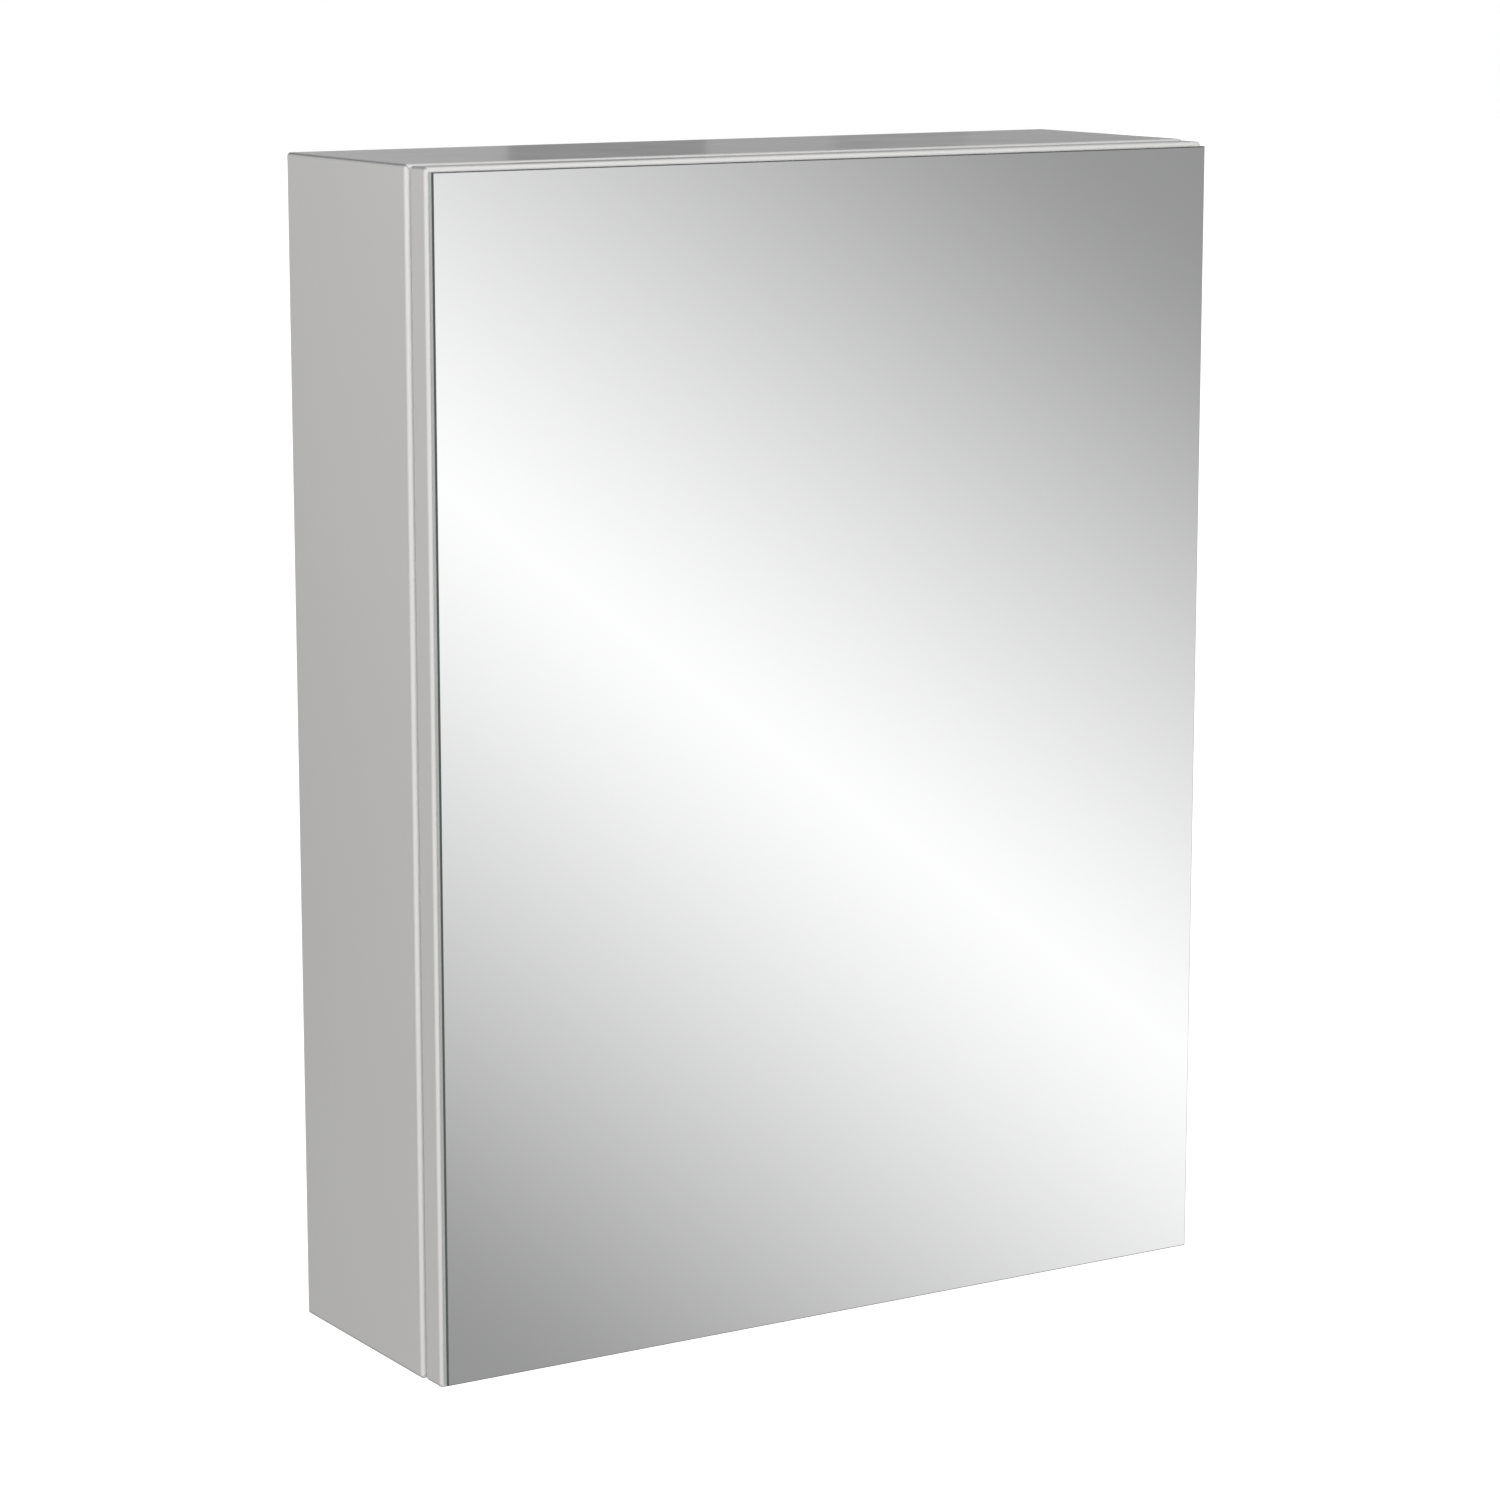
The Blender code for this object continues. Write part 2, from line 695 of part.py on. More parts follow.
def hang(axis, *pieces):
    """Parent pieces to the door's axis and leave them where they are."""
    bpy.context.view_layer.update()
    for piece in pieces:
        piece.parent = axis
        piece.matrix_parent_inverse = axis.matrix_world.inverted()


def door_panel(material):
    """The solid door board with rounded edges and a bore for each hinge cup."""
    low = (DOOR_LEFT, DOOR_FRONT_Y, -DOOR_HALF_HEIGHT)
    high = (DOOR_RIGHT, DOOR_BACK_Y, DOOR_HALF_HEIGHT)
    door = mesh_object("door_panel", box_mesh("door_panel", low, high), material)
    soften(door, EDGE_RADIUS, 4)
    drill = rod_mesh("cup_bore", CUP_BORE_RADIUS, -CUP_DEPTH - FIT_GAP, SHORT_OVERRUN, steps=32)
    for level, sign in (("lower", -1), ("upper", 1)):
        place = hinge_place(CUP_INWARDS, DOOR_GAP, sign * HINGE_HEIGHT)
        combine(door, mesh_object(f"{level}_cup_bore", drill, None, place, TOWARDS_WALL))
    return door


def mirror_glass(material):
    """The mirror that covers the door's whole front, with a ground arris."""
    up = DOOR_HALF_HEIGHT - GLASS_END_INSET
    low = (DOOR_LEFT + GLASS_SIDE_INSET, -DEPTH, -up)
    high = (DOOR_RIGHT - GLASS_SIDE_INSET, -DEPTH + GLASS, up)
    mirror = mesh_object("mirror_glass", box_mesh("mirror_glass", low, high), material)
    soften(mirror, GLASS_ARRIS, 2)
    return mirror


def mirror_tapes(material):
    """Double-sided foam strips between the door board and the mirror."""
    middle = DOOR_FRONT_Y - TAPE_SPACE / 2
    up = DOOR_HALF_HEIGHT - TAPE_END_MARGIN
    strips = []
    for side, across in TAPE_PLACES.items():
        name = f"{side}_mirror_tape"
        low = (across - TAPE_WIDTH / 2, middle - TAPE_THICKNESS / 2, -up)
        high = (across + TAPE_WIDTH / 2, middle + TAPE_THICKNESS / 2, up)
        strips.append(mesh_object(name, box_mesh(name, low, high), material))
    return strips


def door_buffers(material):
    """Two soft buffers on the door's free side."""
    thick = DOOR_GAP - 2 * FIT_GAP
    profile = [
        (0, 0),
        (BUFFER_RADIUS, 0),
        (BUFFER_RADIUS, thick - BUFFER_CHAMFER),
        (BUFFER_RADIUS - BUFFER_CHAMFER, thick),
        (0, thick),
    ]
    mesh = turned_mesh("door_buffer", profile, steps=24)
    buffers = []
    for level, sign in (("lower", -1), ("upper", 1)):
        place = (-WIDTH / 2 + BUFFER_INWARDS, DOOR_BACK_Y + FIT_GAP, sign * BUFFER_HEIGHT)
        buffers.append(mesh_object(f"{level}_door_buffer", mesh, material, place, TOWARDS_WALL))
    return buffers


# Hinges


def hinge_cup(level, up, material):
    """A pressed cup with a screw flange and two lugs that hold the pin."""
    profile = [
        (0, -CUP_DEPTH),
        (CUP_RADIUS - CUP_CHAMFER, -CUP_DEPTH),
        (CUP_RADIUS, -CUP_DEPTH + CUP_CHAMFER),
        (CUP_RADIUS, FIT_GAP),
        (CUP_RIM_RADIUS, FIT_GAP),
        (CUP_RIM_RADIUS, FIT_GAP + FLANGE_THICKNESS - CUP_RIM_CHAMFER),
        (CUP_RIM_RADIUS - CUP_RIM_CHAMFER, FIT_GAP + FLANGE_THICKNESS),
        (CUP_RADIUS - CUP_WALL + FIT_GAP, FIT_GAP + FLANGE_THICKNESS),
        (CUP_RADIUS - CUP_WALL, FLANGE_THICKNESS),
        (CUP_RADIUS - CUP_WALL, -CUP_DEPTH + CUP_WALL),
        (0, -CUP_DEPTH + CUP_WALL),
    ]
    name = f"{level}_hinge_cup"
    place = hinge_place(CUP_INWARDS, DOOR_GAP, up)
    cup = mesh_object(name, turned_mesh(name, profile, steps=32), material, place, TOWARDS_WALL)

    face_low = DOOR_BACK_Y + FIT_GAP
    screws_x = WIDTH / 2 - CUP_INWARDS - CUP_SCREW_OFFSET
    low = (screws_x - FLANGE_HALF_DEPTH, up - FLANGE_HALF_HEIGHT)
    high = (screws_x + FLANGE_HALF_DEPTH, up + FLANGE_HALF_HEIGHT)
    outline = rounded_rectangle(low, high, FLANGE_CORNER)
    flange_mesh = prism_mesh(f"{level}_flange", outline, face_low, face_low + FLANGE_THICKNESS, "Y")
    flange = mesh_object(f"{level}_flange", flange_mesh, None)
    mouth_radius = CUP_RADIUS - CUP_WALL / 2
    mouth_mesh = rod_mesh(f"{level}_mouth", mouth_radius, -SHORT_OVERRUN, SHORT_OVERRUN, steps=32)
    combine(flange, mesh_object(f"{level}_mouth", mouth_mesh, None, place, TOWARDS_WALL))
    combine(cup, flange, "UNION")

    pin_place = hinge_place(PIN_INWARDS, PIN_FORWARDS, up)
    bottom_y = DOOR_BACK_Y - CUP_DEPTH + CUP_WALL / 2
    for end, sign in (("lower", -1), ("upper", 1)):
        inner, outer = sorted((up + sign * LUG_INNER, up + sign * LUG_OUTER))
        low = (pin_place.x - LUG_INWARDS, bottom_y, inner)
        high = (pin_place.x + LUG_OUTWARDS, pin_place.y + LUG_BACKWARDS, outer)
        lug_name = f"{level}_{end}_lug"
        combine(cup, mesh_object(lug_name, box_mesh(lug_name, low, high), None), "UNION")
    drill_half = PIN_DRILL_HALF_LENGTH
    drill_mesh = rod_mesh("pin_drill", PIN_HOLE_RADIUS, -drill_half, drill_half, steps=20)
    drill = mesh_object(f"{level}_pin_drill", drill_mesh, None, pin_place)
    combine(cup, drill)
    return cup


def hinge_pin(level, up, material):
    """The steel pin on which the cup turns."""
    profile = [
        (0, -PIN_HALF_LENGTH),
        (PIN_RADIUS - PIN_CHAMFER, -PIN_HALF_LENGTH),
        (PIN_RADIUS, -PIN_HALF_LENGTH + PIN_CHAMFER),
        (PIN_RADIUS, PIN_HALF_LENGTH - PIN_CHAMFER),
        (PIN_RADIUS - PIN_CHAMFER, PIN_HALF_LENGTH),
        (0, PIN_HALF_LENGTH),
    ]
    name = f"{level}_hinge_pin"
    place = hinge_place(PIN_INWARDS, PIN_FORWARDS, up)
    return mesh_object(name, turned_mesh(name, profile, steps=20), material, place)


def hook_outline():
    """The bent arm seen from above: out from the eye, round the door's edge and back into the cabinet."""
    pin = Vector((PIN_INWARDS, PIN_FORWARDS))
    wing_inwards = BOARD + FIT_GAP + ARM_THICKNESS / 2
    meet = -math.acos((wing_inwards - PIN_INWARDS) / HOOK_RADIUS)
    outward = Vector((math.cos(HOOK_START), math.sin(HOOK_START)))
    path = [pin + outward * HOOK_ROOT, pin + outward * (HOOK_RADIUS - HOOK_BEND)]
    bend_start = HOOK_START - HOOK_BEND_TURN
    for step in range(HOOK_STEPS + 1):
        turn = bend_start + (meet - bend_start) * step / HOOK_STEPS
        path.append(pin + HOOK_RADIUS * Vector((math.cos(turn), math.sin(turn))))
    path.append(Vector((wing_inwards, WING_FRONT - WING_OVERLAP)))
    sides = ([], [])
    for index, point in enumerate(path):
        before = path[max(index - 1, 0)]
        after = path[min(index + 1, len(path) - 1)]
        along = (after - before).normalized()
        normal = Vector((-along.y, along.x)) * ARM_THICKNESS / 2
        sides[0].append(point + normal)
        sides[1].append(point - normal)
    return [tuple(hinge_place(p.x, p.y, 0).xy) for p in sides[0] + sides[1][::-1]]


def hinge_arm(level, up, material):
    """A steel arm: an eye on the pin, a hook that clears the door's edge and a wing screwed to the side."""
    name = f"{level}_hinge_arm"
    low, high = up - ARM_HALF_HEIGHT, up + ARM_HALF_HEIGHT
    arm = mesh_object(name, prism_mesh(name, hook_outline(), low, high, "Z"), material)
    near = hinge_place(BOARD + FIT_GAP, WING_FRONT, up)
    far = hinge_place(BOARD + FIT_GAP + ARM_THICKNESS, WING_BACK, up)
    wing_outline = rounded_rectangle(
        (near.y, up - WING_HALF_HEIGHT), (far.y, up + WING_HALF_HEIGHT), WING_CORNER
    )
    wing_mesh = prism_mesh(f"{level}_wing", wing_outline, far.x, near.x, "X")
    combine(arm, mesh_object(f"{level}_wing", wing_mesh, None), "UNION")
    eye_place = hinge_place(PIN_INWARDS, PIN_FORWARDS, up)
    height = ARM_HALF_HEIGHT
    eye_mesh = rod_mesh("eye", EYE_RADIUS, -height, height, steps=20)
    combine(arm, mesh_object(f"{level}_eye", eye_mesh, None, eye_place), "UNION")
    hole_mesh = rod_mesh("eye_hole", PIN_HOLE_RADIUS, -height - PIN_RADIUS, height + PIN_RADIUS, steps=20)
    hole = mesh_object(f"{level}_eye_hole", hole_mesh, None, eye_place)
    combine(arm, hole)
    return arm


def hinge(level, up, door, side_panel, axis, metal, pin_metal, screw):
    """One complete hinge with its screws and their holes."""
    cup = hinge_cup(level, up, metal)
    pin = hinge_pin(level, up, pin_metal)
    arm = hinge_arm(level, up, metal)
    cup_face = DOOR_GAP - FIT_GAP - FLANGE_THICKNESS - FIT_GAP
    arm_face = BOARD + FIT_GAP + ARM_THICKNESS + FIT_GAP
    for end, sign in (("lower", -1), ("upper", 1)):
        name = f"{level}_hinge_cup_screw_{end}"
        place = hinge_place(CUP_INWARDS + CUP_SCREW_OFFSET, cup_face, up + sign * CUP_SCREW_SPACING / 2)
        hang(axis, mesh_object(name, screw, pin_metal, place, TOWARDS_WALL))
        combine(cup, pilot_hole(name + "_pilot", door, place, TOWARDS_WALL, SCREW_LENGTH))
        name = f"{level}_hinge_arm_screw_{end}"
        place = hinge_place(arm_face, ARM_SCREW_BACK, up + sign * ARM_SCREW_HEIGHT)
        mesh_object(name, screw, pin_metal, place, TOWARDS_MINUS_X)
        combine(arm, pilot_hole(name + "_pilot", side_panel, place, TOWARDS_MINUS_X, SCREW_LENGTH))
    hang(axis, cup, pin)


# Catch


def magnetic_catch(side_panel, body_material, magnet_material, screw_material, screw):
    """The catch on the left side panel: a plastic body, its magnet and two screws."""
    left = -INNER_HALF_WIDTH + FIT_GAP
    front = FRONT_Y - CATCH_FORWARDS
    low = (left, front, -CATCH_HEIGHT / 2)
    high = (left + CATCH_WIDTH, front + CATCH_DEPTH, CATCH_HEIGHT / 2)
    body = mesh_object("catch_body", box_mesh("catch_body", low, high), body_material)
    soften(body, CATCH_EDGE, 3)
    middle = left + CATCH_WIDTH / 2
    magnet_front = DOOR_BACK_Y + 2 * FIT_GAP + STRIKE_THICKNESS
    half = (MAGNET_WIDTH / 2, MAGNET_HEIGHT / 2)
    low = (middle - half[0], magnet_front, -half[1])
    high = (middle + half[0], magnet_front + MAGNET_DEPTH, half[1])
    magnet = mesh_object("catch_magnet", box_mesh("catch_magnet", low, high), magnet_material)
    soften(magnet, MAGNET_ARRIS, 1)
    low = (low[0] - FIT_GAP, front - OVERRUN, low[2] - FIT_GAP)
    high = (high[0] + FIT_GAP, high[1] + FIT_GAP, high[2] + FIT_GAP)
    combine(body, mesh_object("magnet_pocket", box_mesh("magnet_pocket", low, high), None))
    for end, sign in (("lower", -1), ("upper", 1)):
        name = f"catch_screw_{end}"
        place = (left + CATCH_WIDTH + FIT_GAP, front + CATCH_DEPTH / 2, sign * CATCH_SCREW_HEIGHT)
        mesh_object(name, screw, screw_material, place, ALONG_X)
        combine(body, pilot_hole(name + "_pilot", side_panel, place, ALONG_X, LONG_SCREW_LENGTH))


def strike_plate(material):
    """The steel plate stuck to the door, which the magnet holds."""
    middle = -INNER_HALF_WIDTH + FIT_GAP + CATCH_WIDTH / 2
    near = DOOR_BACK_Y + FIT_GAP
    half = (STRIKE_WIDTH / 2, STRIKE_HEIGHT / 2)
    outline = rounded_rectangle((middle - half[0], -half[1]), (middle + half[0], half[1]), STRIKE_CORNER)
    mesh = prism_mesh("strike_plate", outline, near, near + STRIKE_THICKNESS, "Y")
    return mesh_object("strike_plate", mesh, material)


def build():
    clear_scene()
    foil = white_foil()
    nickel_metal = nickel()
    zinc_metal = zinc()

    panels = carcass_panels(foil)
    mitre_splines(birch_ply())
    back = back_panel(white_hardboard())
    back_screws(panels, back, zinc_metal)
    hanging_rail(foil)
    rail_washers(zinc_metal)
    peg_holes(panels)
    shelf_pegs(nickel_metal)
    glass_shelves(clear_glass())

    axis = door_axis()
    door = door_panel(foil)
    hang(axis, door, mirror_glass(silvered_glass()), *mirror_tapes(foam_tape()))
    hang(axis, *door_buffers(soft_clear_buffer()))

    short_screw = screw_mesh("short_screw", SCREW_LENGTH)
    long_screw = screw_mesh("long_screw", LONG_SCREW_LENGTH)
    for level, sign in (("lower", -1), ("upper", 1)):
        hinge(level, sign * HINGE_HEIGHT, door, panels["right"], axis, nickel_metal, zinc_metal, short_screw)

    magnetic_catch(panels["left"], white_plastic(), magnet_metal(), zinc_metal, long_screw)
    hang(axis, strike_plate(zinc_metal))


build()
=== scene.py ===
"""Looks of a wall-hung medicine cabinet with one mirrored door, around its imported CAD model.

The frame has its origin at the centre of the rear face: +Z up, the mirror faces -Y, +X to the right.
"""

import math

import bmesh
import bpy
from mathutils import Matrix, Vector


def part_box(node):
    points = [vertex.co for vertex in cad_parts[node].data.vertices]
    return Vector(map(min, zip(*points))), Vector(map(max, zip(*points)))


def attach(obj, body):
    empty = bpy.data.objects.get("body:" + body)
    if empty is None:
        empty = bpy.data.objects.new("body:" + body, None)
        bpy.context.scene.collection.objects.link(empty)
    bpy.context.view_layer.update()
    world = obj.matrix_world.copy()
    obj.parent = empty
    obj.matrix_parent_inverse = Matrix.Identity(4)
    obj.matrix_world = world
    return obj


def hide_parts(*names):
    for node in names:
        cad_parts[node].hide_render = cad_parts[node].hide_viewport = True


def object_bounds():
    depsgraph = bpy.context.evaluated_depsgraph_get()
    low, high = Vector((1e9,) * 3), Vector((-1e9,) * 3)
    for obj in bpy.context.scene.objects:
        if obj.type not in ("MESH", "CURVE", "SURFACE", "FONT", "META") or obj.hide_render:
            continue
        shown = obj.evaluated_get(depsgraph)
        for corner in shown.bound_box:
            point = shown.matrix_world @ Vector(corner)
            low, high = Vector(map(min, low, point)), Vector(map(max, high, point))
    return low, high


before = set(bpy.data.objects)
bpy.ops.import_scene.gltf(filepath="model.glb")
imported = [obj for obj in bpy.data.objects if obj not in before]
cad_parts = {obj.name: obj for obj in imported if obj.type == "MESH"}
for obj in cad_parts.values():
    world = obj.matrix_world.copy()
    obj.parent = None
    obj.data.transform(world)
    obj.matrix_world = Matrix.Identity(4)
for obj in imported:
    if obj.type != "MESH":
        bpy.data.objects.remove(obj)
cad_low, cad_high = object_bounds()

# Camera, in the frame's own metres and degrees
CAMERA_PLACE = (-1.2217, -2.0326, 0.4179)
CAMERA_TURN_RIGHT = 31.833
CAMERA_TILT = -10.562
CAMERA_LENS = 108.05
CAMERA_SENSOR = 36.0

# Bands of light in the surroundings, which the mirror shows: the direction across them, the distance
# from a bright line to a dark one as a sine, and how the tone falls between them
BAND_AZIMUTH = 18.68
BAND_ELEVATION = 51.63
BAND_HALF_PERIOD = 0.20
BAND_FALL = 5.0
BAND_CURVE = 1.27
BAND_DARKEST = 0.42
BAND_SMOOTHING = 0.12
DISPLAY_GAMMA = 2.2

# The surroundings behind the cabinet are dimmer in reflections, in proportion up to a limit
REAR_DIM = 1.2
REAR_DIM_MOST = 0.33

# Even room light on the boards, and how much more of it comes from above
ROOM_LIGHT = 0.28
ROOM_LIGHT_RISE = 0.06

# Dark cards behind the cabinet: left end, right end and glow of each
DARK_CARDS = ((0.444, 0.620, 0.05), (0.740, 0.868, 0.12))
CARD_HEIGHT = 0.9
CARD_BEHIND = 1.0

FLOOR_BELOW = 1.2
FLOOR_SIZE = 60.0
FLOOR_GLOW = 0.85

# Soft boxes: name, place, target, width, power and colour
SOFT_BOXES = (
    ("front_soft_box", (-1.4, -2.75, 0.8), (0, -0.1, 0), 1.6, 58.0, (1.0, 0.99, 0.97)),
    ("upper_left_soft_box", (-1.0, -0.3, 0.35), (-0.23, -0.06, 0.08), 0.6, 0.8, (1.0, 1.0, 1.0)),
    ("top_soft_box", (0.4, -0.1, 2.0), (0.15, -0.1, 0.3), 1.2, 2.4, (0.94, 0.91, 1.0)),
    ("right_soft_box", (2.4, -0.9, 0.5), (0.2, -0.1, 0), 1.2, 14.0, (1.0, 1.0, 1.0)),
    ("rear_right_soft_box", (2.2, 1.6, 0.9), (0.2, 0, 0), 1.4, 32.0, (1.0, 1.0, 1.0)),
)

# Carcass boards: the foil's thickness, the rounded zone along the front, and the back panel's rebate
FOIL_SKIN = 0.0006
BEVEL_ZONE = 0.0025
BACK_REBATE = 0.008

# Raw board, darkest and lightest, and the grey of a painted dark reflection along the rounded edges between
# side faces and top and bottom faces
RAW_BOARD = ((0.36, 0.24, 0.14), (0.55, 0.40, 0.26))
PAINTED_EDGE_REFLECTION_GREY = (0.42, 0.42, 0.43)

# Mirror plate: its rounded arris, and the part of its edge that is dark
ARRIS_WIDTH = 0.0005
ARRIS_STEPS = 3
DARK_RIM = 0.0014
RIM_BLEND = 0.0002


class Paint:
    """A node material under construction. Its methods add nodes and return their output sockets."""

    def __init__(self, name, **values):
        self.material = bpy.data.materials.new(name)
        self.material.use_nodes = True
        self.tree = self.material.node_tree
        self.shader = self.tree.nodes["Principled BSDF"]
        self.point = self.tree.nodes.new("ShaderNodeTexCoord")
        for socket, value in values.items():
            self.set(socket.replace("_", " ").title().replace("Ior", "IOR"), value)

    def set(self, socket, value):
        """Set or link one of the shader's sockets."""
        if isinstance(value, bpy.types.NodeSocket):
            self.tree.links.new(value, self.shader.inputs[socket])
        else:
            self.shader.inputs[socket].default_value = value

    def node(self, kind, inputs=(), **settings):
        """Add a node, with its inputs set or linked and its settings applied."""
        made = self.tree.nodes.new(kind)
        for name, value in settings.items():
            setattr(made, name, value)
        for key, value in dict(inputs).items():
            if isinstance(value, bpy.types.NodeSocket):
                self.tree.links.new(value, made.inputs[key])
            else:
                made.inputs[key].default_value = value
        return made

    def place(self, stretch=(1, 1, 1)):
        """The surface's own place in metres, stretched."""
        made = self.node("ShaderNodeMapping", {"Vector": self.point.outputs["Object"], "Scale": stretch})
        return made.outputs["Vector"]

    def noise(self, scale, detail=3.0, roughness=0.55, stretch=(1, 1, 1)):
        """Soft noise of the given scale per metre."""
        made = self.node(
            "ShaderNodeTexNoise",
            {"Vector": self.place(stretch), "Scale": scale, "Detail": detail, "Roughness": roughness},
        )
        return made.outputs["Fac"]

    def math(self, operation, first, second=0.0):
        return self.node("ShaderNodeMath", {0: first, 1: second}, operation=operation).outputs[0]

    def spread(self, value, low, high, from_low=0.35, from_high=0.65):
        """Map a value linearly to low..high."""
        inputs = {"Value": value, "From Min": from_low, "From Max": from_high, "To Min": low, "To Max": high}
        return self.node("ShaderNodeMapRange", inputs).outputs["Result"]

    def mix(self, share, first, second):
        """Mix two colours."""
        inputs = {"Factor": share, "A": as_colour(first), "B": as_colour(second)}
        made = self.tree.nodes.new("ShaderNodeMix")
        made.data_type = "RGBA"
        sockets = {"Factor": made.inputs[0], "A": made.inputs[6], "B": made.inputs[7]}
        for name, value in inputs.items():
            if isinstance(value, bpy.types.NodeSocket):
                self.tree.links.new(value, sockets[name])
            else:
                sockets[name].default_value = value
        return made.outputs[2]

    def bump(self, height, strength, distance, under=None):
        """A raised surface, on top of another one if that is given."""
        inputs = {"Height": height, "Strength": strength, "Distance": distance}
        if under is not None:
            inputs["Normal"] = under
        return self.node("ShaderNodeBump", inputs).outputs["Normal"]

    def separate(self, vector):
        return self.node("ShaderNodeSeparateXYZ", {"Vector": vector}).outputs

    def attribute(self, name):
        """A number stored on the surface's own corners."""
        return self.node("ShaderNodeAttribute", attribute_name=name).outputs["Fac"]

    def within(self, value, low, high):
        """1 where the value lies between low and high."""
        above = self.math("GREATER_THAN", value, low)
        below = self.math("LESS_THAN", value, high)
        return self.math("MULTIPLY", above, below)


def as_colour(value):
    if isinstance(value, (tuple, list)) and len(value) == 3:
        return (*value, 1.0)
    return value


def core_mask(paint):
    """1 on faces that lie inside the carcass boards, where a drilled hole shows the raw board."""
    half_width, half_height = cad_high.x, cad_high.z
    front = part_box("left_side_panel")[0].y
    back_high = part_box("back_panel")[1]
    inner_x = back_high.x - BACK_REBATE
    inner_z = back_high.z - BACK_REBATE
    place = paint.separate(paint.point.outputs["Object"])
    across = paint.math("ABSOLUTE", place["X"])
    up = paint.math("ABSOLUTE", place["Z"])
    deep = paint.within(place["Y"], front + BEVEL_ZONE, -FOIL_SKIN)
    inside_outer = paint.math(
        "MULTIPLY",
        paint.math("LESS_THAN", across, half_width - FOIL_SKIN),
        paint.math("LESS_THAN", up, half_height - FOIL_SKIN),
    )
    in_hollow = paint.math(
        "MULTIPLY",
        paint.math("LESS_THAN", across, inner_x + FOIL_SKIN),
        paint.math("LESS_THAN", up, inner_z + FOIL_SKIN),
    )
    in_board = paint.math("MULTIPLY", inside_outer, paint.math("SUBTRACT", 1.0, in_hollow))
    return paint.math("MULTIPLY", in_board, deep)


def white_foil(name, with_core=False):
    """Satin white foil: a faint orange peel, uneven gloss, a painted dark reflection on the rounded edges
    between side faces and top and bottom faces, and raw board where it ends.
    """
    paint = Paint(name, specular_ior_level=0.5)
    tone = paint.spread(paint.noise(7.0, 2.0), 0.0, 1.0)
    colour = paint.mix(tone, (0.808, 0.804, 0.800), (0.822, 0.818, 0.816))
    facing = paint.separate(paint.point.outputs["Normal"])
    # Painted dark reflection: grey laid on rounded edges that face sideways and up or down at once
    painted_edge_reflection = paint.math("ABSOLUTE", paint.math("MULTIPLY", facing["X"], facing["Z"]))
    painted_edge_reflection = paint.spread(painted_edge_reflection, 0.0, 1.0, 0.05, 0.5)
    colour = paint.mix(painted_edge_reflection, colour, PAINTED_EDGE_REFLECTION_GREY)
    rough = paint.spread(paint.noise(26.0, 2.0), 0.165, 0.195)
    if with_core:
        fibres = paint.spread(paint.noise(900.0, 4.0, 0.7, (1, 0.25, 1)), 0.0, 1.0)
        board = paint.mix(fibres, *RAW_BOARD)
        raw = core_mask(paint)
        colour = paint.mix(raw, colour, board)
        rough = paint.math("MAXIMUM", rough, paint.math("MULTIPLY", raw, 0.9))
    paint.set("Base Color", colour)
    paint.set("Roughness", rough)
    paint.set("Normal", paint.bump(paint.noise(260.0, 1.0), 0.05, 0.00002))
    return paint.material


def hardboard(name):
    """White lacquer on the face that looks into the cabinet, bare brown fibre board on the rear."""
    paint = Paint(name)
    facing = paint.separate(paint.point.outputs["Normal"])["Y"]
    rear = paint.math("GREATER_THAN", facing, 0.5)
    speckle = paint.spread(paint.noise(700.0, 5.0, 0.7), 0.0, 1.0)
    cloud = paint.spread(paint.noise(24.0, 5.0, 0.65), 0.0, 1.0)
    flecks = paint.spread(paint.noise(210.0, 4.0, 0.75, (1, 1, 0.45)), 0.0, 1.0, 0.42, 0.66)
    fibre = paint.mix(speckle, (0.27, 0.160, 0.085), (0.56, 0.375, 0.22))
    fibre = paint.mix(paint.math("MULTIPLY", cloud, 0.35), fibre, (0.31, 0.190, 0.11))
    fibre = paint.mix(paint.math("MULTIPLY", flecks, 0.40), fibre, (0.60, 0.42, 0.26))
    lacquer = paint.mix(speckle, (0.74, 0.74, 0.73), (0.78, 0.78, 0.77))
    paint.set("Base Color", paint.mix(rear, lacquer, fibre))
    paint.set("Roughness", paint.spread(speckle, 0.50, 0.72, 0.0, 1.0))
    cloth = [
        paint.node("ShaderNodeTexWave", {"Vector": paint.place(), "Scale": 190.0}, bands_direction=way)
        for way in ("X", "Z")
    ]
    screen = paint.math("MULTIPLY", cloth[0].outputs["Fac"], cloth[1].outputs["Fac"])
    weave = paint.bump(paint.math("MULTIPLY", screen, rear), 0.5, 0.0003)
    paint.set("Normal", paint.bump(paint.noise(900.0, 4.0, 0.7), 0.12, 0.00012, weave))
    return paint.material


def silver(name):
    """The silvered face of the mirror, with barely visible wiping marks."""
    paint = Paint(name, metallic=1.0, base_color=(0.985, 0.988, 0.988, 1.0))
    wipe = paint.noise(5.0, 3.0, 0.6, (1.0, 1.0, 0.35))
    paint.set("Roughness", paint.spread(wipe, 0.0, 0.018, 0.45, 0.75))
    return paint.material


def ground_edge(name):
    """The ground edge of the mirror: frosted and pale at the back, dark along the front arris."""
    paint = Paint(name, specular_ior_level=0.6)
    grit = paint.spread(paint.noise(3000.0, 3.0), 0.0, 1.0)
    dark = paint.mix(grit, (0.070, 0.076, 0.078), (0.11, 0.12, 0.12))
    pale = paint.mix(grit, (0.60, 0.64, 0.62), (0.72, 0.76, 0.74))
    paint.set("Base Color", paint.mix(paint.attribute("front_share"), pale, dark))
    paint.set("Roughness", paint.spread(grit, 0.22, 0.38, 0.0, 1.0))
    paint.set("Normal", paint.bump(grit, 0.15, 0.00002))
    return paint.material


